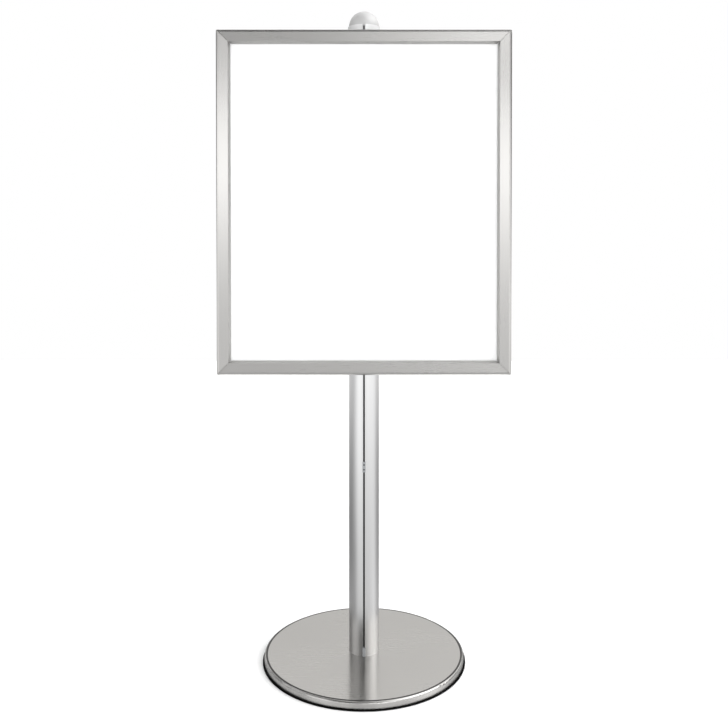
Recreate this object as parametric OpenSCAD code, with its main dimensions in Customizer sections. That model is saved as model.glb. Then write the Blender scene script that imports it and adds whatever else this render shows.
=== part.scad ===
// Free-standing sign stand: a snap-open sheet frame on a slotted round post and a weighted base.
// Origin at the centre of the base on the floor, +Z up. The sign faces -Y.

/* [Sheet] */
// Width of the sheet that the frame takes
sheet_w = 508; // [400:1:560]
// Height of the sheet that the frame takes
sheet_h = 600; // [450:1:620]
// Thickness of the stiff panel behind the sheet
panel_t = 3; // [2.6:0.1:3]

/* [Frame] */
// Width of a frame rail seen from the front
rail_w = 26.5; // [25:0.1:27]
// Depth of the closed frame
rail_d = 14.4; // [14.4:0.1:14.8]
// Height of the frame's bottom edge above the floor
frame_z = 549; // [545:0.5:552]
// Radius of the frame's outer corners in plan
corner_r = 3; // [1:0.5:4]
// Gap left along each snap rail's mitre
mitre_gap = 0.45; // [0.2:0.05:0.5]

/* [Post] */
// Outer diameter of the post
post_d = 57.15; // [56:0.05:58]
// Wall thickness of the post
post_wall = 2.2; // [2:0.1:2.4]
// Height of the post's top end above the floor
post_top = 1199; // [1196:1:1210]
// Width of the mouth of each slot
slot_mouth = 3.4; // [3.2:0.1:3.6]
// Width of the undercut inside each slot
slot_w = 9.6; // [9:0.1:10]

/* [Slot stop] */
// Height of the stop's centre above the floor
stop_z = 373; // [330:1:376]
// Length of the stop along the slot
stop_len = 19; // [16:1:20]

/* [Base] */
// Outer radius of the steel base cover
cover_r = 189.5; // [186:0.5:195]
// Height of the base cover's flat top
cover_top = 15; // [14.5:0.5:20]
// Thickness of the cover's sheet steel
cover_t = 1.2; // [0.8:0.1:1.4]
// Radius of the cover's rolled shoulder
shoulder_r = 4; // [3:0.5:7]
// How far the rubber ring stands out past the cover
ring_out = 3; // [2:0.5:5]
// Height of the rubber ring
ring_h = 2.8; // [2.6:0.1:3.4]

/* [Cap] */
// Outer radius of the cap's collar
collar_r = 30.2; // [29.8:0.1:31]
// Height of the cap's collar
collar_h = 10; // [9:0.5:10.5]
// Radius of the dome
dome_r = 28.4; // [28:0.1:28.6]

/* [Hidden] */
$fn = 64;
eps = 0.01;

// Sides of the frame, counted anticlockwise as the sign is read
BOTTOM = 0;
RIGHT = 1;
TOP = 2;
LEFT = 3;

// Colours
satin = [0.80, 0.80, 0.79];
steel = [0.66, 0.66, 0.66];
iron = [0.25, 0.25, 0.26];
rubber = [0.08, 0.08, 0.08];
grey_plastic = [0.55, 0.56, 0.57];
white = [0.95, 0.95, 0.95];

// Frame section: u runs inwards from the outer edge, v runs forwards from the back plane
sheet_u = 19;
wall_t = 1.4;
outer_wall_top = 6.8;
ledge_u = 23.5;
web_v = 4.6;
web_t = 1.2;
web_top = web_v + web_t;
upstand_u = 16.1;
upstand_top = 9;
frame_w = sheet_w + 2 * sheet_u;
frame_h = sheet_h + 2 * sheet_u;
frame_mid = frame_z + frame_h / 2;
frame_back = -38;

// Hinge of each snap rail: a bead on the back profile, held by a claw on the rail
bead_u = 4.3;
bead_v = rail_d - 4.6;
bead_r = 1.4;
claw_r = 1.5;
roll_r = 2.9;
neck_t = 1;
neck_u = 5.5;
neck_w = 1.2;
claw_from = -12;
nose_from = 135;
claw_to = 178;
nose_trim = 4.6;
lip_trim = 1.1;

// Snap rail face: a steep outer edge, a tilted strip, the flat face and a steep inner edge
face_t = 1.4;
edge_start = [0.5, bead_v - 0.2];
edge_end = [2.6, rail_d - 0.8];
strip_end = 5.6;
inner_edge_w = 3.6;
inner_edge_d = 6.4;
lip_t = 1.3;
sheet_t = 0.25;
film_t = 0.5;
lip_gap = 0.3;
lip_foot = wall_t + panel_t + sheet_t + film_t + lip_gap;
rib_u = 14.6;
rib_h = 1.2;

// Fasteners between the frame and the post
bolt_u = 11.5;
bolt_r = 2.5;
bolt_hole_r = 2.75;
washer_r = 4.4;
washer_t = 1;
nut_flats = 8;
nut_t = 4;
side_screw_x = 14;
side_screw_r = 2;
side_screw_hole_r = 2.2;
side_screw_grip = 6.5;
screw_head_r = 3.6;
screw_head_h = 2.4;
side_socket_r = 1.5;
side_socket_depth = 1.5;
bracket_w = 46;
bracket_tip_w = 38;
bracket_h = 18;
bracket_reach = 15;
bracket_edge_r = 2;
bracket_edge_t = 4;
t_head_h = 12;

// Corner keys inside the back profiles
key_in = 1.7;
key_w = 14.1;
key_t = 3;
key_arm = 45;
key_screw_at = 30;
key_screw_u = 9.4;
key_screw_r = 2;
key_screw_h = 4.6;
key_screw_from = 2;
key_socket_r = 1.1;
key_socket_depth = 1.6;

// Leaf springs under the snap rails
spring_u = 11.5;
spring_v = 6.7;
spring_r = 4.1;
spring_t = 0.5;
spring_len = 30;
springs_short = [-150, 150];
springs_long = [-200, 0, 200];

// Post section
post_r = post_d / 2;
bore_r = post_r - post_wall;
slot_lip = 2.4;
slot_deep = 3.8;
channel_t = 1.8;
cavity_front = post_r - slot_lip;
cavity_back = cavity_front - slot_deep;
port_at = 23.2;
port_r = 2.5;
port_wall_r = 4.4;
post_foot = cover_top;

// Sliders that run in a slot
slider_gap = 0.3;
slider_neck = slot_mouth - 0.4;
slider_head = slot_w - 2 * slider_gap;
slider_t = slot_deep - 2 * slider_gap;
pad_w = 5.7;
pad_t = 1.3;
pad_back = post_r + slider_gap;
insert_len = 16;
grub_r = 1.5;
grub_pitch = 9;
grub_socket_r = 0.85;
grub_socket_depth = 1.5;
grub_len = pad_back + pad_t - cavity_back - 0.25;

// Base
cover_foot = 1.8;
turned_line_w = 1.4;
turned_line_d = 0.5;
turned_line_r = cover_r - shoulder_r - turned_line_w;
weight_r = 180;
weight_top = cover_top - cover_t;
ring_in = 17;
ring_edge_r = 0.8;
post_screw_r = 2.4;
post_screw_hole_r = 3.3;
post_screw_head_r = 5;
post_screw_head_h = 4.2;
post_screw_bite = 24;
post_socket_r = 2.9;
post_socket_depth = 2.4;
counterbore_r = 7;
counterbore_top = 9.8;
post_washer_r = 6.4;
post_washer_t = 1.2;

// Cap
collar_foot = post_top - 8;
collar_notch_w = 5.7;
collar_notch_from = post_r - 0.6;
cap_gap = 0.2;
collar_bore_r = post_r + 0.12;
cap_shell_t = 3;
dome_z = collar_foot + collar_h + 1.4;
cap_leg_r = bore_r - 0.2;
cap_leg_t = 1.8;
cap_leg_len = 14;
cap_leg_from = 21.5;
cap_leg_root = 3;

function side_len(k) = k % 2 == 0 ? frame_w : frame_h;
function side_reach(k) = (k % 2 == 0 ? frame_h : frame_w) / 2;
function on_circle(r, a) = [r * cos(a), r * sin(a)];
function fan(r, a, b, n) = concat([[0, 0]], [for (i = [0:n]) on_circle(r, a + (b - a) * i / n)]);

// ---- placing ----

// Puts a drawing of the frame, x to the right, y up and z forwards, where the frame stands
module in_frame() {
    translate([0, frame_back, frame_mid]) rotate([90, 0, 0]) children();
}

// Puts one side's parts in place: x runs along the side, y is u and z is v
module on_side(k) {
    in_frame() rotate([0, 0, 90 * k]) translate([0, -side_reach(k), 0]) children();
}

// Four places around the post, between its slots
module around_post() {
    for (i = [0:3]) rotate([0, 0, 45 + 90 * i]) translate([port_at, 0, 0]) children();
}

// A round bar along Z between two heights
module bar_up(r, a, b) {
    translate([0, 0, a]) cylinder(r = r, h = b - a);
}

// A round bar along -Y from the post's axis outwards, from depth a to depth b
module bar_forward(r, a, b) {
    translate([0, -a, 0]) rotate([90, 0, 0]) cylinder(r = r, h = b - a);
}

// Cut for a hex key, from the end of a screw at z = 0 downwards
module hex_socket(r, depth) {
    translate([0, 0, -depth]) cylinder(r = r, h = depth + 1, $fn = 6);
}

// ---- base ----

// Half outline of a flat disc with a rolled shoulder
module disc_outline(r, top, s) {
    square([r - s, top]);
    square([r, top - s]);
    translate([r - s, top - s]) circle(s);
}

module base_edge_ring() {
    ring_r = cover_r + ring_out;
    edge = ring_edge_r;
    color(rubber) rotate_extrude($fn = 180) difference() {
        union() {
            translate([cover_r - ring_in, 0]) square([ring_in + ring_out - edge, ring_h]);
            translate([cover_r, edge]) square([ring_out, ring_h - 2 * edge]);
            for (z = [edge, ring_h - edge]) translate([ring_r - edge, z]) circle(edge);
        }
        translate([cover_r - cover_t - 0.1, cover_foot - 0.1]) square([cover_t + 0.2, ring_h]);
    }
}

module base_cover() {
    color(steel) difference() {
        rotate_extrude($fn = 180) difference() {
            intersection() {
                disc_outline(cover_r, cover_top, shoulder_r);
                translate([0, cover_foot]) square([cover_r + 1, cover_top]);
            }
            disc_outline(cover_r - cover_t, cover_top - cover_t, shoulder_r - cover_t);
            translate([turned_line_r, cover_top - turned_line_d]) square([turned_line_w, 1]);
        }
        around_post() translate([0, 0, cover_top - 3]) cylinder(r = post_screw_hole_r, h = 6);
    }
}

module base_weight() {
    color(iron) difference() {
        translate([0, 0, ring_h]) cylinder(r = weight_r, h = weight_top - ring_h, $fn = 180);
        around_post() {
            cylinder(r = post_screw_hole_r, h = cover_top);
            cylinder(r = counterbore_r, h = counterbore_top);
        }
    }
}

module post_washers() {
    color(steel) around_post() translate([0, 0, counterbore_top - post_washer_t]) difference() {
        cylinder(r = post_washer_r, h = post_washer_t);
        translate([0, 0, -1]) cylinder(r = post_screw_hole_r, h = post_washer_t + 2);
    }
}

module post_screws() {
    head_top = counterbore_top - post_washer_t;
    head_end = head_top - post_screw_head_h;
    color(steel) around_post() difference() {
        union() {
            bar_up(post_screw_head_r, head_end, head_top);
            bar_up(post_screw_r, head_top - 1, post_foot + post_screw_bite);
        }
        translate([0, 0, head_end]) rotate([180, 0, 0]) hex_socket(post_socket_r, post_socket_depth);
    }
}

// ---- post ----

module post_section() {
    difference() {
        union() {
            difference() {
                circle(post_r, $fn = 128);
                circle(bore_r, $fn = 128);
            }
            intersection() {
                circle(post_r - 0.5, $fn = 128);
                for (a = [0, 180]) rotate(a) translate([-slot_w / 2 - channel_t, -post_r])
                    square([slot_w + 2 * channel_t, post_r - cavity_back + channel_t]);
            }
            intersection() {
                circle(post_r - 0.5, $fn = 128);
                around_post() circle(port_wall_r);
            }
        }
        for (a = [0, 180]) rotate(a) {
            translate([-slot_mouth / 2, -post_r - 1]) square([slot_mouth, slot_lip + 2]);
            translate([-slot_w / 2, -cavity_front]) square([slot_w, slot_deep]);
        }
        around_post() circle(port_r);
    }
}

module post() {
    color(satin) translate([0, 0, post_foot]) linear_extrude(post_top - post_foot) post_section();
}

// Section of a slider: a head inside the undercut, a neck in the mouth and a pad outside
module slider_section() {
    translate([-slider_head / 2, -cavity_front + slider_gap]) square([slider_head, slider_t]);
    translate([-slider_neck / 2, -pad_back - eps]) square([slider_neck, pad_back - cavity_front + 1]);
    translate([-pad_w / 2, -pad_back - pad_t]) square([pad_w, pad_t]);
}

module slot_foot_insert() {
    color(grey_plastic) translate([0, 0, post_foot + 0.3]) linear_extrude(insert_len) slider_section();
}

module slot_stop() {
    color(grey_plastic) difference() {
        translate([0, 0, stop_z - stop_len / 2]) linear_extrude(stop_len) slider_section();
        at_grub_screws() bar_forward(grub_r + 0.05, cavity_back, post_r + 5);
    }
}

module at_grub_screws() {
    for (s = [-1, 1]) translate([0, 0, stop_z + s * grub_pitch / 2]) children();
}

module slot_stop_screws() {
    color(iron) at_grub_screws() difference() {
        bar_forward(grub_r, cavity_back + 0.05, cavity_back + grub_len);
        translate([0, -cavity_back - grub_len, 0]) rotate([90, 0, 0])
            hex_socket(grub_socket_r, grub_socket_depth);
    }
}

module dome_cap() {
    color(satin) difference() {
        union() {
            rotate_extrude($fn = 128) difference() {
                union() {
                    translate([0, collar_foot]) square([collar_r, collar_h]);
                    translate([0, dome_z - 3]) square([dome_r, 3]);
                    intersection() {
                        translate([0, dome_z]) circle(dome_r, $fn = 128);
                        translate([0, dome_z]) square(dome_r + 1);
                    }
                }
                translate([0, collar_foot - 1])
                    square([collar_bore_r, post_top + cap_gap - collar_foot + 1]);
                translate([0, post_top]) square([dome_r - cap_shell_t, dome_z - post_top]);
                intersection() {
                    translate([0, dome_z]) circle(dome_r - cap_shell_t, $fn = 128);
                    translate([0, dome_z - eps]) square(dome_r);
                }
            }
            cap_legs();
        }
        translate([-collar_notch_w / 2, -collar_r - 1, collar_foot - 1])
            cube([collar_notch_w, collar_r + 1 - collar_notch_from, collar_h + 2]);
    }
}

// Two springy legs that press into the post's bore, one on each side of the slots
module cap_legs() {
    translate([0, 0, post_top + cap_leg_root - cap_leg_len]) linear_extrude(cap_leg_len) difference() {
        circle(cap_leg_r, $fn = 128);
        circle(cap_leg_r - cap_leg_t, $fn = 128);
        square([2 * cap_leg_from, 4 * post_r], center = true);
    }
}

// ---- frame ----

// Plan of one side: mitred at both ends and rounded at its two outer corners
module side_plan(k, trim) {
    len = side_len(k);
    over = 1;
    far = rail_w + over;
    intersection() {
        polygon([[-len / 2 - over + trim, -over], [len / 2 + over - trim, -over],
                 [len / 2 - far - trim, far], [-len / 2 + far + trim, far]]);
        union() {
            translate([-len / 2 + corner_r, 0]) square([len - 2 * corner_r, far]);
            translate([-len / 2, corner_r]) square([len, far]);
            for (s = [-1, 1]) translate([s * (len / 2 - corner_r), corner_r]) circle(corner_r);
        }
    }
}

// Runs a section along one side and mitres its ends
module mitred(k, trim = 0) {
    len = side_len(k);
    intersection() {
        rotate([90, 0, 90]) translate([0, 0, -len / 2]) linear_extrude(len) children();
        translate([0, 0, -1]) linear_extrude(rail_d + 2) side_plan(k, trim);
    }
}

module back_section() {
    square([ledge_u, wall_t]);
    square([wall_t, outer_wall_top]);
    translate([0, web_v]) square([upstand_u + wall_t, web_t]);
    translate([upstand_u, 0]) square([wall_t, upstand_top]);
    translate([neck_u, web_v]) square([neck_w, bead_v - roll_r - web_v]);
    translate([bead_u, bead_v]) {
        circle(bead_r);
        rotate(-60) translate([0, -neck_t / 2]) square([roll_r + 0.8, neck_t]);
    }
}

module frame_back(k) {
    color(satin) on_side(k) difference() {
        mitred(k) back_section();
        for (s = [-1, 1]) translate([s * (side_len(k) / 2 - key_screw_at), key_screw_u, web_v - 0.5])
            cylinder(r = key_screw_r + 0.15, h = web_t + 1);
        if (k == TOP || k == BOTTOM) {
            translate([0, bolt_u, -1]) cylinder(r = bolt_hole_r, h = web_top + 2);
            for (s = [-1, 1]) translate([s * side_screw_x, bolt_u, -1])
                cylinder(r = side_screw_hole_r, h = web_top + 2);
        }
    }
}

// Places a corner's parts: x and y run along the two sides, away from the corner
module at_corner(k) {
    at_right = k == BOTTOM || k == RIGHT;
    at_top = k == RIGHT || k == TOP;
    in_frame() translate([(at_right ? 1 : -1) * frame_w / 2, (at_top ? 1 : -1) * frame_h / 2, 0])
        rotate([0, 0, 90 * k + 90]) children();
}

// Corner k joins side k to the next side
module corner_key(k) {
    color(iron) at_corner(k) difference() {
        translate([0, 0, wall_t + 0.1]) linear_extrude(key_t) {
            translate([key_in, key_in]) square([key_w, key_arm]);
            translate([key_in, key_in]) square([key_arm, key_w]);
        }
        at_key_screws() cylinder(r = key_screw_r + 0.05, h = web_top);
    }
}

module at_key_screws() {
    for (p = [[key_screw_u, key_screw_at], [key_screw_at, key_screw_u]]) translate(p) children();
}

module corner_key_screws() {
    color(steel) for (k = [BOTTOM:LEFT]) at_corner(k)
        at_key_screws() translate([0, 0, key_screw_from]) difference() {
        cylinder(r = key_screw_r, h = key_screw_h);
        translate([0, 0, key_screw_h]) hex_socket(key_socket_r, key_socket_depth);
    }
}

// A flat sheet in the frame between two depths
module flat_sheet(from, t) {
    in_frame() translate([-sheet_w / 2, -sheet_h / 2, from]) cube([sheet_w, sheet_h, t]);
}

module backing_panel() {
    color(white) flat_sheet(wall_t, panel_t);
}

module poster_sheet() {
    color(white) flat_sheet(wall_t + panel_t, sheet_t);
}

module cover_sheet() {
    color([0.9, 0.95, 1, 0.3]) flat_sheet(wall_t + panel_t + sheet_t, film_t);
}

// Leaf springs seen end on: a bowed strip that stands on the web
module springs(k) {
    spots = k % 2 == 0 ? springs_short : springs_long;
    color(steel) on_side(k) for (x = spots)
        translate([x - spring_len / 2, 0, 0]) rotate([90, 0, 90]) linear_extrude(spring_len)
            intersection() {
                translate([spring_u, spring_v]) difference() {
                    circle(spring_r);
                    circle(spring_r - spring_t);
                }
                translate([spring_u - spring_r, web_top]) square([2 * spring_r, 2 * spring_r]);
            }
}

// The part of the rail's claw around the hinge axis between two angles
module claw(a, b) {
    intersection() {
        difference() {
            union() {
                translate([bead_u, bead_v]) circle(roll_r);
                polygon([edge_start, edge_end, [strip_end, rail_d], [strip_end, rail_d - face_t],
                         [bead_u, edge_start[1]]]);
            }
            translate([bead_u, bead_v]) circle(claw_r);
        }
        translate([bead_u, bead_v]) polygon(fan(2 * roll_r, a, b, 6));
    }
}

// How far in the rail's sloping inner edge is at depth v
function inner_edge_u(v) = rail_w - inner_edge_w + (rail_d - v) * inner_edge_w / inner_edge_d;

module rail_face() {
    under = rail_d - face_t;
    strip_slope = (rail_d - edge_end[1]) / (strip_end - edge_end[0]);
    polygon([[bead_u, bead_v + claw_r], [bead_u, edge_end[1] + (bead_u - edge_end[0]) * strip_slope],
             [strip_end, rail_d], [inner_edge_u(rail_d), rail_d], [inner_edge_u(bead_v), bead_v],
             [inner_edge_u(bead_v) - lip_t, bead_v], [inner_edge_u(under) - lip_t, under],
             [strip_end + 1, under]]);
    translate([rib_u, under - rib_h]) square([lip_t, rib_h + eps]);
}

// The foot of the rail's inner edge, which holds the sheets down
module rail_lip() {
    bend = rail_d - inner_edge_d;
    polygon([[inner_edge_u(bead_v), bead_v], [rail_w, bend], [rail_w, lip_foot], [rail_w - lip_t, lip_foot],
             [rail_w - lip_t, bend], [inner_edge_u(bead_v) - lip_t, bead_v],
             [inner_edge_u(bead_v) - lip_t, bead_v + eps], [inner_edge_u(bead_v) - eps, bead_v + eps]]);
}

module snap_rail(k) {
    color(satin) on_side(k) {
        mitred(k, mitre_gap) {
            rail_face();
            claw(claw_from, nose_from);
        }
        mitred(k, mitre_gap + nose_trim) claw(nose_from - 1, claw_to);
        mitred(k, mitre_gap + lip_trim) rail_lip();
    }
}

// ---- joint between frame and post ----

// Height of the bolt behind one side of the frame
function bolt_z(k) = k == TOP ? frame_z + frame_h - bolt_u : frame_z + bolt_u;

module bracket_plan() {
    back = -frame_back;
    difference() {
        union() {
            polygon([[-bracket_w / 2, -back], [bracket_w / 2, -back],
                     [bracket_w / 2, -back + bracket_edge_t], [bracket_tip_w / 2, -back + bracket_reach],
                     [-bracket_tip_w / 2, -back + bracket_reach], [-bracket_w / 2, -back + bracket_edge_t]]);
            for (s = [-1, 1]) translate([s * (bracket_tip_w / 2 - bracket_edge_r), -back + bracket_reach])
                circle(bracket_edge_r);
        }
        circle(post_r + slider_gap, $fn = 128);
    }
}

module bracket(k) {
    color(iron) translate([0, 0, bolt_z(k)]) difference() {
        translate([0, 0, -bracket_h / 2]) linear_extrude(bracket_h) bracket_plan();
        bar_forward(bolt_r + 0.1, 0, -frame_back + 1);
        for (s = [-1, 1]) translate([s * side_screw_x, 0, 0])
            bar_forward(side_screw_r + 0.05, -frame_back - side_screw_grip - 1, -frame_back + 1);
    }
}

module bracket_screws() {
    seat = web_top - frame_back;
    end = seat + screw_head_h;
    color(steel) for (k = [BOTTOM, TOP], s = [-1, 1])
        translate([s * side_screw_x, 0, bolt_z(k)]) difference() {
            union() {
                bar_forward(side_screw_r, -frame_back - side_screw_grip, seat + 1);
                bar_forward(screw_head_r, seat, end);
            }
            translate([0, -end, 0]) rotate([90, 0, 0]) hex_socket(side_socket_r, side_socket_depth);
        }
}

module t_bolt(k) {
    neck_end = post_r + 0.25;
    shank_end = web_top + washer_t + nut_t + 0.6 - frame_back;
    color(steel) translate([0, 0, bolt_z(k)]) {
        translate([-slider_head / 2, -cavity_front + slider_gap, -t_head_h / 2])
            cube([slider_head, slider_t, t_head_h]);
        translate([-slider_neck / 2, -neck_end, -bolt_r])
            cube([slider_neck, neck_end - cavity_front + 1, 2 * bolt_r]);
        bar_forward(bolt_r, neck_end - 0.05, shank_end);
    }
}

module t_bolt_washers() {
    color(steel) for (k = [BOTTOM, TOP]) translate([0, 0, bolt_z(k)]) difference() {
        bar_forward(washer_r, web_top - frame_back, web_top + washer_t - frame_back);
        bar_forward(bolt_hole_r, 0, -2 * frame_back);
    }
}

module t_bolt_nuts() {
    seat = web_top + washer_t - frame_back;
    color(steel) for (k = [BOTTOM, TOP]) translate([0, 0, bolt_z(k)]) difference() {
        translate([0, -seat, 0]) rotate([90, 0, 0]) cylinder(r = nut_flats / sqrt(3), h = nut_t, $fn = 6);
        bar_forward(bolt_r + 0.05, 0, -2 * frame_back);
    }
}

base_edge_ring();
base_cover();
base_weight();
post_washers();
post_screws();
post();
slot_foot_insert();
dome_cap();
slot_stop();
slot_stop_screws();
frame_back(BOTTOM);  // frame_back_bottom
frame_back(RIGHT);  // frame_back_right
frame_back(TOP);  // frame_back_top
frame_back(LEFT);  // frame_back_left
corner_key(BOTTOM);  // corner_key_bottom_right
corner_key(RIGHT);  // corner_key_top_right
corner_key(TOP);  // corner_key_top_left
corner_key(LEFT);  // corner_key_bottom_left
corner_key_screws();
backing_panel();
poster_sheet();
cover_sheet();
bracket(TOP);  // upper_bracket
bracket(BOTTOM);  // lower_bracket
bracket_screws();
t_bolt(TOP);  // upper_t_bolt
t_bolt(BOTTOM);  // lower_t_bolt
t_bolt_washers();
t_bolt_nuts();
springs(BOTTOM);  // springs_bottom
springs(RIGHT);  // springs_right
springs(TOP);  // springs_top
springs(LEFT);  // springs_left
snap_rail(BOTTOM);  // snap_rail_bottom
snap_rail(RIGHT);  // snap_rail_right
snap_rail(TOP);  // snap_rail_top
snap_rail(LEFT);  // snap_rail_left
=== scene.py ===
"""Looks of the sign stand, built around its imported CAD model. Metres, +Z up, the sign faces -Y."""

import math

import bpy
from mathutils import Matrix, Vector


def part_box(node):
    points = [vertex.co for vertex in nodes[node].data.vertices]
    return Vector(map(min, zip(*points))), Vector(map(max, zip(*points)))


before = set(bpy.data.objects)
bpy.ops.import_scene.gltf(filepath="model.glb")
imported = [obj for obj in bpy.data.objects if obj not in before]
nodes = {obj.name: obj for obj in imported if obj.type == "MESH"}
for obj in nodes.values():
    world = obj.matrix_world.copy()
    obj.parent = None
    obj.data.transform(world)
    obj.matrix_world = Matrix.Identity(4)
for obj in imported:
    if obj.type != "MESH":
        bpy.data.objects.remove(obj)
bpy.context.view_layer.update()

SIDES = ("bottom", "right", "top", "left")
WHITE = (1.0, 1.0, 1.0, 1.0)
FAR = 1.0


# ---- camera ----


def make_camera():
    """A studio camera level with the lower half of the sheet, tipped down by a degree."""
    distance = 1.6475
    height = 0.8031
    tip_down = math.radians(0.948)
    data = bpy.data.cameras.new("camera")
    data.lens = 42.85
    data.sensor_width = 36.0
    data.shift_y = -0.1535
    camera = bpy.data.objects.new("camera", data)
    camera.location = (0.0, -distance, height)
    camera.rotation_euler = (math.pi / 2 - tip_down, 0.0, 0.0)
    bpy.context.scene.collection.objects.link(camera)
    bpy.context.scene.camera = camera


# ---- node helpers ----


def new_material(name):
    material = bpy.data.materials.new(name)
    material.use_nodes = True
    tree = material.node_tree
    shader = tree.nodes["Principled BSDF"]
    return material, tree, shader


def add_node(tree, kind, **settings):
    node = tree.nodes.new(kind)
    for key, value in settings.items():
        setattr(node, key, value)
    return node


def scaled_place(tree, scale):
    """The object's own coordinates in metres, stretched by three factors."""
    place = add_node(tree, "ShaderNodeTexCoord")
    mapping = add_node(tree, "ShaderNodeMapping")
    mapping.inputs["Scale"].default_value = scale
    tree.links.new(place.outputs["Object"], mapping.inputs["Vector"])
    return mapping.outputs["Vector"]


def noise(tree, scale, detail=3.0, roughness=0.5, size=1.0):
    """Noise with its own stretch along each axis, from 0 to 1."""
    node = add_node(tree, "ShaderNodeTexNoise")
    node.inputs["Scale"].default_value = size
    node.inputs["Detail"].default_value = detail
    node.inputs["Roughness"].default_value = roughness
    tree.links.new(scaled_place(tree, scale), node.inputs["Vector"])
    return node.outputs["Fac"]


def remap(tree, value, low, high, from_low=0.3, from_high=0.7):
    node = add_node(tree, "ShaderNodeMapRange")
    node.inputs["From Min"].default_value = from_low
    node.inputs["From Max"].default_value = from_high
    node.inputs["To Min"].default_value = low
    node.inputs["To Max"].default_value = high
    tree.links.new(value, node.inputs["Value"])
    return node.outputs["Result"]


def colour_between(tree, value, dark, light):
    node = add_node(tree, "ShaderNodeMix", data_type="RGBA")
    node.inputs["A"].default_value = (*dark, 1.0)
    node.inputs["B"].default_value = (*light, 1.0)
    tree.links.new(value, node.inputs["Factor"])
    return node.outputs["Result"]


def add_values(tree, first, second):
    node = add_node(tree, "ShaderNodeMath", operation="ADD")
    tree.links.new(first, node.inputs[0])
    tree.links.new(second, node.inputs[1])
    return node.outputs["Value"]


def bump(tree, shader, height, strength, distance):
    node = add_node(tree, "ShaderNodeBump")
    node.inputs["Strength"].default_value = strength
    node.inputs["Distance"].default_value = distance
    tree.links.new(height, node.inputs["Height"])
    tree.links.new(node.outputs["Normal"], shader.inputs["Normal"])


def shade(colour, factor):
    return tuple(channel * factor for channel in colour)


def blend_values(tree, mask, inside, outside):
    """inside where the mask is 1 and outside where it is 0; both are numbers or outputs."""
    node = add_node(tree, "ShaderNodeMix", data_type="FLOAT")
    tree.links.new(mask, node.inputs["Factor"])
    for socket, value in ((node.inputs["A"], outside), (node.inputs["B"], inside)):
        if isinstance(value, (int, float)):
            socket.default_value = value
        else:
            tree.links.new(value, socket)
    return node.outputs["Result"]


def blend_colours(tree, mask, inside, outside):
    node = add_node(tree, "ShaderNodeMix", data_type="RGBA")
    tree.links.new(mask, node.inputs["Factor"])
    tree.links.new(outside, node.inputs["A"])
    node.inputs["B"].default_value = (*inside, 1.0)
    return node.outputs["Result"]


def axis_radius(tree):
    """Distance from the post's axis, in metres."""
    place = add_node(tree, "ShaderNodeTexCoord")
    flat = add_node(tree, "ShaderNodeVectorMath", operation="MULTIPLY")
    flat.inputs[1].default_value = (1.0, 1.0, 0.0)
    tree.links.new(place.outputs["Object"], flat.inputs[0])
    length = add_node(tree, "ShaderNodeVectorMath", operation="LENGTH")
    tree.links.new(flat.outputs["Vector"], length.inputs[0])
    return length.outputs["Value"]


def ring_mask(tree, radius, inner, outer, edge=0.0001):
    """1 between two distances from the post's axis and 0 elsewhere."""
    rise = remap(tree, radius, 0.0, 1.0, inner - edge, inner + edge)
    fall = remap(tree, radius, 1.0, 0.0, outer - edge, outer + edge)
    node = add_node(tree, "ShaderNodeMath", operation="MULTIPLY")
    tree.links.new(rise, node.inputs[0])
    tree.links.new(fall, node.inputs[1])
    return node.outputs["Value"]


ACROSS_GRAIN = 0.25
GRAIN_AXES = {"x": (1.0, 0.0, 0.0), "y": (0.0, 1.0, 0.0), "z": (0.0, 0.0, 1.0)}


def grain_direction(tree, grain):
    direction = add_node(tree, "ShaderNodeCombineXYZ")
    for socket, value in zip(direction.inputs, GRAIN_AXES[grain]):
        socket.default_value = value
    return direction.outputs["Vector"]


def to_world(tree, vector):
    turned = add_node(tree, "ShaderNodeVectorTransform")
    turned.vector_type = "VECTOR"
    turned.convert_from = "OBJECT"
    turned.convert_to = "WORLD"
    tree.links.new(vector, turned.inputs["Vector"])
    return turned.outputs["Vector"]


def brushed_metal(name, colour, roughness, grain, anisotropy, contrast=0.015, smudge=0.012, dent=0.05):
    """Metal with a fine straight grain along one axis of the object."""
    material, tree, shader = new_material(name)
    shader.inputs["Metallic"].default_value = 1.0
    shader.inputs["Anisotropic"].default_value = anisotropy
    fine, coarse, clouded = 2600.0, 900.0, 7.0
    along = 0.012
    dent_depth = 0.00002
    stretch = [along if axis == grain else 1.0 for axis in "xyz"]
    streaks = noise(tree, [fine * part for part in stretch], detail=4.0, roughness=0.6)
    bands = noise(tree, [coarse * part for part in stretch], detail=2.0)
    clouds = noise(tree, (clouded,) * 3, detail=3.0)
    grain_value = remap(tree, streaks, 0.0, 0.5)
    band_value = remap(tree, bands, 0.0, 0.5)
    mixed = add_values(tree, grain_value, band_value)
    tint = colour_between(tree, mixed, shade(colour, 1.0 - contrast), shade(colour, 1.0 + contrast))
    tree.links.new(tint, shader.inputs["Base Color"])
    rough_grain = remap(tree, mixed, roughness - smudge, roughness + smudge, 0.0, 1.0)
    rough_cloud = remap(tree, clouds, -smudge, smudge)
    tree.links.new(add_values(tree, rough_grain, rough_cloud), shader.inputs["Roughness"])
    bump(tree, shader, streaks, dent, dent_depth)
    if anisotropy > 0.0:
        tree.links.new(to_world(tree, grain_direction(tree, grain)), shader.inputs["Tangent"])
        shader.inputs["Anisotropic Rotation"].default_value = ACROSS_GRAIN
    return material


def change_inside(tree, shader, mask, colour, roughness):
    """Another colour and roughness where the mask is 1."""
    changes = (("Base Color", colour, blend_colours), ("Roughness", roughness, blend_values))
    for socket, value, blend in changes:
        before = shader.inputs[socket].links[0].from_socket
        tree.links.new(blend(tree, mask, value, before), shader.inputs[socket])


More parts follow.
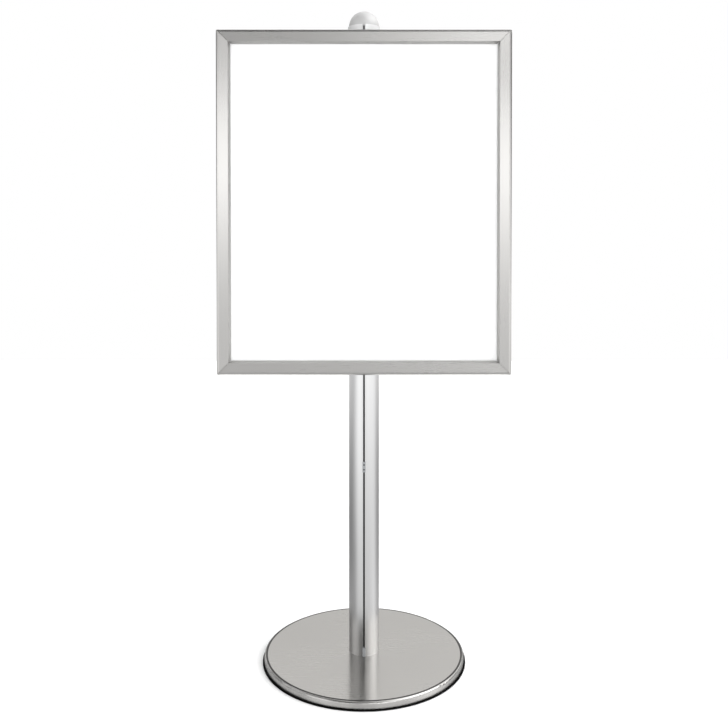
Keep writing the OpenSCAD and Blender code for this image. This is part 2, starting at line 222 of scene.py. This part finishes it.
def post_metal(colour):
    """Drawn aluminium, dull inside the slots and the bore, with painted shade darkening them there."""
    painted_slot_shade = (0.12, 0.12, 0.12)
    skin = 0.0006
    material = brushed_metal("post_aluminium", colour, 0.30, "z", 0.6)
    tree = material.node_tree
    post_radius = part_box("post")[1].x
    # The inside of the slots and the bore is painted dark, standing in for the shade that falls in them.
    inside = ring_mask(tree, axis_radius(tree), 0.0, post_radius - skin)
    change_inside(tree, tree.nodes["Principled BSDF"], inside, painted_slot_shade, 0.6)
    return material


def base_metal(colour):
    """Brushed flat top, a turned line around it darkened with painted shade, and a polished rolled rim."""
    polished = (0.45, 0.442, 0.43)
    painted_groove_shade = (0.10, 0.098, 0.095)
    shoulder, line_start, line_end = 0.004, 0.0065, 0.0028
    material = brushed_metal("base_steel", colour, 0.28, "x", 0.98, dent=0.02)
    tree = material.node_tree
    shader = tree.nodes["Principled BSDF"]
    cover_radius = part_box("base_cover")[1].x
    radius = axis_radius(tree)
    rim = ring_mask(tree, radius, cover_radius - shoulder, FAR)
    # The band over the turned groove is painted dark, standing in for the shade inside the groove.
    groove_shade_band = ring_mask(tree, radius, cover_radius - line_start, cover_radius - line_end)
    change_inside(tree, shader, rim, polished, 0.24)
    change_inside(tree, shader, groove_shade_band, painted_groove_shade, 0.4)
    grain = rim_grain(tree, rim)
    tree.links.new(to_world(tree, grain), shader.inputs["Tangent"])
    return material


def rim_grain(tree, rim):
    """Grain that runs around the rim and straight across the flat top."""
    place = add_node(tree, "ShaderNodeTexCoord")
    around = add_node(tree, "ShaderNodeVectorMath", operation="CROSS_PRODUCT")
    around.inputs[0].default_value = (0.0, 0.0, 1.0)
    tree.links.new(place.outputs["Object"], around.inputs[1])
    unit = add_node(tree, "ShaderNodeVectorMath", operation="NORMALIZE")
    tree.links.new(around.outputs["Vector"], unit.inputs[0])
    mixed = add_node(tree, "ShaderNodeMix", data_type="VECTOR")
    tree.links.new(rim, mixed.inputs["Factor"])
    tree.links.new(grain_direction(tree, "x"), mixed.inputs["A"])
    tree.links.new(unit.outputs["Vector"], mixed.inputs["B"])
    return mixed.outputs["Result"]


def moulded(name, colour, roughness, grain_size=900.0, contrast=0.06, metallic=0.0,
            depth=0.00003, sheen=0.5):
    """Plastic, rubber, paint or casting with a fine even grain."""
    uneven = 0.06
    material, tree, shader = new_material(name)
    shader.inputs["Metallic"].default_value = metallic
    shader.inputs["Specular IOR Level"].default_value = sheen
    grain = noise(tree, (grain_size,) * 3, detail=4.0, roughness=0.6)
    clouds = noise(tree, (12.0, 12.0, 12.0), detail=3.0)
    darker, lighter = shade(colour, 1.0 - contrast), shade(colour, 1.0 + contrast)
    tint = colour_between(tree, remap(tree, clouds, 0.0, 1.0), darker, lighter)
    tree.links.new(tint, shader.inputs["Base Color"])
    rough = remap(tree, grain, roughness - uneven, roughness + uneven)
    tree.links.new(rough, shader.inputs["Roughness"])
    bump(tree, shader, grain, 0.25, depth)
    return material


def cap_metal():
    """Satin silver dome with a brighter collar."""
    satin, bright = (0.54, 0.539, 0.537), (0.74, 0.74, 0.74)
    collar_start = 0.0286
    material = moulded("cap_metal", satin, 0.5, metallic=0.2, contrast=0.03)
    tree = material.node_tree
    collar = ring_mask(tree, axis_radius(tree), collar_start, FAR)
    change_inside(tree, tree.nodes["Principled BSDF"], collar, bright, 0.35)
    return material


def clear_film():
    """Thin clear plastic with a very fine anti-glare texture."""
    material, tree, shader = new_material("anti_glare_film")
    shader.inputs["Base Color"].default_value = (0.97, 0.98, 1.0, 1.0)
    shader.inputs["Alpha"].default_value = 0.1
    grain = noise(tree, (1800.0, 1800.0, 1800.0), detail=2.0)
    tree.links.new(remap(tree, grain, 0.3, 0.42), shader.inputs["Roughness"])
    bump(tree, shader, grain, 0.1, 0.00001)
    return material


def paper():
    """Blank white paper with a faint painted glow, which lifts the shade near the frame."""
    pale, white = (0.93, 0.93, 0.925), (0.97, 0.97, 0.965)
    painted_glow = 0.06
    material, tree, shader = new_material("poster_paper")
    fibres = noise(tree, (700.0, 700.0, 700.0), detail=5.0, roughness=0.65)
    tint = colour_between(tree, remap(tree, fibres, 0.0, 1.0), pale, white)
    tree.links.new(tint, shader.inputs["Base Color"])
    shader.inputs["Roughness"].default_value = 0.8
    # The sheet glows faintly: painted light that keeps it white in the shade near the rails.
    shader.inputs["Emission Color"].default_value = WHITE
    shader.inputs["Emission Strength"].default_value = painted_glow
    bump(tree, shader, fibres, 0.15, 0.00003)
    return material


# ---- finishes ----


def assign(material, *names):
    for name in names:
        for slot in nodes[name].material_slots:
            slot.material = material


def finish_metals():
    post_aluminium = (0.642, 0.642, 0.643)
    aluminium = (0.427, 0.421, 0.412)
    steel = (0.425, 0.414, 0.397)
    assign(post_metal(post_aluminium), "post")
    for side in SIDES:
        grain = "x" if side in ("bottom", "top") else "z"
        rail = brushed_metal(f"rail_aluminium_{side}", aluminium, 0.28, grain, 0.9)
        back = brushed_metal(f"frame_aluminium_{side}", shade(aluminium, 0.93), 0.38, grain, 0.3)
        assign(rail, f"snap_rail_{side}")
        assign(back, f"frame_back_{side}")
    assign(base_metal(steel), "base_cover")
    assign(cap_metal(), "dome_cap")
    fasteners = brushed_metal("fastener_steel", (0.62, 0.61, 0.6), 0.32, "z", 0.0)
    assign(fasteners, "post_washers", "post_screws", "corner_key_screws", "bracket_screws",
           "upper_t_bolt", "lower_t_bolt", "t_bolt_washers", "t_bolt_nuts")
    springs = brushed_metal("spring_steel", (0.45, 0.46, 0.48), 0.28, "x", 0.3)
    assign(springs, *[f"springs_{side}" for side in SIDES])
    keys = brushed_metal("key_steel", (0.5, 0.5, 0.49), 0.4, "x", 0.0)
    assign(keys, "corner_key_bottom_right", "corner_key_top_right", "corner_key_top_left",
           "corner_key_bottom_left")


def finish_other_parts():
    assign(moulded("edge_rubber", (0.003, 0.003, 0.003), 0.8, sheen=0.03), "base_edge_ring")
    assign(moulded("base_iron", (0.05, 0.05, 0.052), 0.55, 350.0, 0.15, depth=0.0002), "base_weight")
    assign(moulded("insert_grey", (0.3, 0.31, 0.32), 0.42), "slot_foot_insert", "slot_stop")
    assign(moulded("black_screw", (0.03, 0.03, 0.03), 0.35, metallic=0.6), "slot_stop_screws")
    assign(moulded("panel_white", (0.86, 0.86, 0.86), 0.5), "backing_panel")
    powder_coat = moulded("bracket_black", (0.03, 0.03, 0.032), 0.5, 600.0, depth=0.0001)
    assign(powder_coat, "upper_bracket", "lower_bracket")
    assign(paper(), "poster_sheet")
    assign(clear_film(), "cover_sheet")


# ---- studio ----


# The studio's soft panels of light. side is how many degrees right of straight ahead of the sign a panel's
# middle is, and height how many degrees up. The widths, heights and soft edges are in degrees too.
PANELS = {
    "right_softbox": dict(side=72.4, height=41.8, half_width=35.8, half_height=19.7,
                          soft_sides=21.4, soft_top=3.3, strength=3.09),
    "left_softbox": dict(side=-49.7, height=-8.7, half_width=35.9, half_height=7.6,
                         soft_sides=3.2, soft_top=3, strength=0.86),
    "left_upper": dict(side=-68.8, height=28, half_width=32.2, half_height=9.4,
                       soft_sides=3.1, soft_top=15.2, strength=1.9),
    "strip": dict(side=15.8, height=18.5, half_width=13.7, half_height=4.5,
                  soft_sides=8.7, soft_top=3, strength=5),
    "level_band": dict(side=-11, height=5, half_width=50.1, half_height=4.2,
                       soft_sides=4.4, soft_top=7.6, strength=3.36),
    "high_back": dict(side=146, height=48.8, half_width=85.1, half_height=31.2,
                      soft_sides=34, soft_top=4.3, strength=1.45),
    "overhead": dict(side=33.7, height=83.1, half_width=101.9, half_height=11.9,
                     soft_sides=6.4, soft_top=4.5, strength=1.27),
    "low_front": dict(side=18.8, height=-33.7, half_width=77.5, half_height=30,
                      soft_sides=20, soft_top=6.1, strength=0.72),
    "low_right": dict(side=119.9, height=-63.3, half_width=48, half_height=23.9,
                      soft_sides=40, soft_top=28.5, strength=4.24),
    "low_left": dict(side=-120.1, height=-57.7, half_width=52.8, half_height=16.1,
                     soft_sides=40, soft_top=27.3, strength=4.37),
    "right_back": dict(side=141.9, height=-4.7, half_width=129.7, half_height=3,
                       soft_sides=4, soft_top=13.1, strength=1.9),
}
# Light between the panels, below and above the level where one turns into the other
LOW_LIGHT, HIGH_LIGHT = 0.122, 0.060
LOW_END, HIGH_START = -20.0, 40.0


def calculate(tree, operation, *values):
    """A maths node whose inputs are numbers or other nodes' outputs."""
    node = add_node(tree, "ShaderNodeMath", operation=operation)
    for socket, value in zip(node.inputs, values):
        if isinstance(value, (int, float)):
            socket.default_value = value
        else:
            tree.links.new(value, socket)
    return node.outputs["Value"]


def soft_step(tree, value, start, end, low, high):
    node = add_node(tree, "ShaderNodeMapRange", interpolation_type="SMOOTHSTEP")
    node.inputs["From Min"].default_value = start
    node.inputs["From Max"].default_value = end
    node.inputs["To Min"].default_value = low
    node.inputs["To Max"].default_value = high
    tree.links.new(value, node.inputs["Value"])
    return node.outputs["Result"]


def directions(tree):
    """How far right of straight ahead of the sign, and how far up, each direction is, in degrees."""
    place = add_node(tree, "ShaderNodeTexCoord")
    parts = add_node(tree, "ShaderNodeSeparateXYZ")
    tree.links.new(place.outputs["Generated"], parts.inputs[0])
    right, back, up = parts.outputs
    sideways = calculate(tree, "ARCTAN2", right, calculate(tree, "MULTIPLY", back, -1.0))
    upwards = calculate(tree, "ARCSINE", up)
    return calculate(tree, "DEGREES", sideways), calculate(tree, "DEGREES", upwards)


def panel(tree, sideways, upwards, side, height, half_width, half_height, soft_sides, soft_top, strength):
    """One rounded patch of light that fades out over its soft edges."""
    turned = calculate(tree, "WRAP", calculate(tree, "SUBTRACT", sideways, side), 180.0, -180.0)
    off_side = calculate(tree, "ABSOLUTE", turned)
    off_height = calculate(tree, "ABSOLUTE", calculate(tree, "SUBTRACT", upwards, height))
    across = soft_step(tree, off_side, half_width - soft_sides, half_width + soft_sides, 1.0, 0.0)
    upright = soft_step(tree, off_height, half_height - soft_top, half_height + soft_top, strength, 0.0)
    return calculate(tree, "MULTIPLY", across, upright)


def make_surroundings():
    """The panels light the stand, and the camera sees a plain white backdrop in their place."""
    world = bpy.data.worlds.new("studio")
    world.use_nodes = True
    tree = world.node_tree
    tree.nodes.clear()
    sideways, upwards = directions(tree)
    light = soft_step(tree, upwards, LOW_END, HIGH_START, LOW_LIGHT, HIGH_LIGHT)
    for shape in PANELS.values():
        light = calculate(tree, "ADD", light, panel(tree, sideways, upwards, **shape))
    lit = add_node(tree, "ShaderNodeBackground")
    tree.links.new(light, lit.inputs["Strength"])
    lit.inputs["Color"].default_value = WHITE
    seen = add_node(tree, "ShaderNodeBackground")
    seen.inputs["Color"].default_value = WHITE
    path = add_node(tree, "ShaderNodeLightPath")
    chosen = add_node(tree, "ShaderNodeMixShader")
    tree.links.new(path.outputs["Is Camera Ray"], chosen.inputs["Fac"])
    tree.links.new(lit.outputs["Background"], chosen.inputs[1])
    tree.links.new(seen.outputs["Background"], chosen.inputs[2])
    output = add_node(tree, "ShaderNodeOutputWorld")
    tree.links.new(chosen.outputs["Shader"], output.inputs["Surface"])
    bpy.context.scene.world = world
    bpy.context.scene.view_settings.view_transform = "Standard"


def make_floor():
    """A plain pale floor that stays even and doesn't mirror in the metal."""
    half = 4.0
    pale = (0.9, 0.9, 0.9, 1.0)
    glow = 0.12
    mesh = bpy.data.meshes.new("floor")
    corners = [(-half, -half, 0.0), (half, -half, 0.0), (half, half, 0.0), (-half, half, 0.0)]
    mesh.from_pydata(corners, [], [(0, 1, 2, 3)])
    floor = bpy.data.objects.new("floor", mesh)
    bpy.context.scene.collection.objects.link(floor)
    material, tree, shader = new_material("pale_floor")
    shader.inputs["Base Color"].default_value = pale
    shader.inputs["Roughness"].default_value = 0.9
    shader.inputs["Specular IOR Level"].default_value = 0.0
    shader.inputs["Emission Color"].default_value = WHITE
    shader.inputs["Emission Strength"].default_value = glow
    mesh.materials.append(material)
    floor.visible_glossy = False


make_camera()
finish_metals()
finish_other_parts()
make_surroundings()
make_floor()
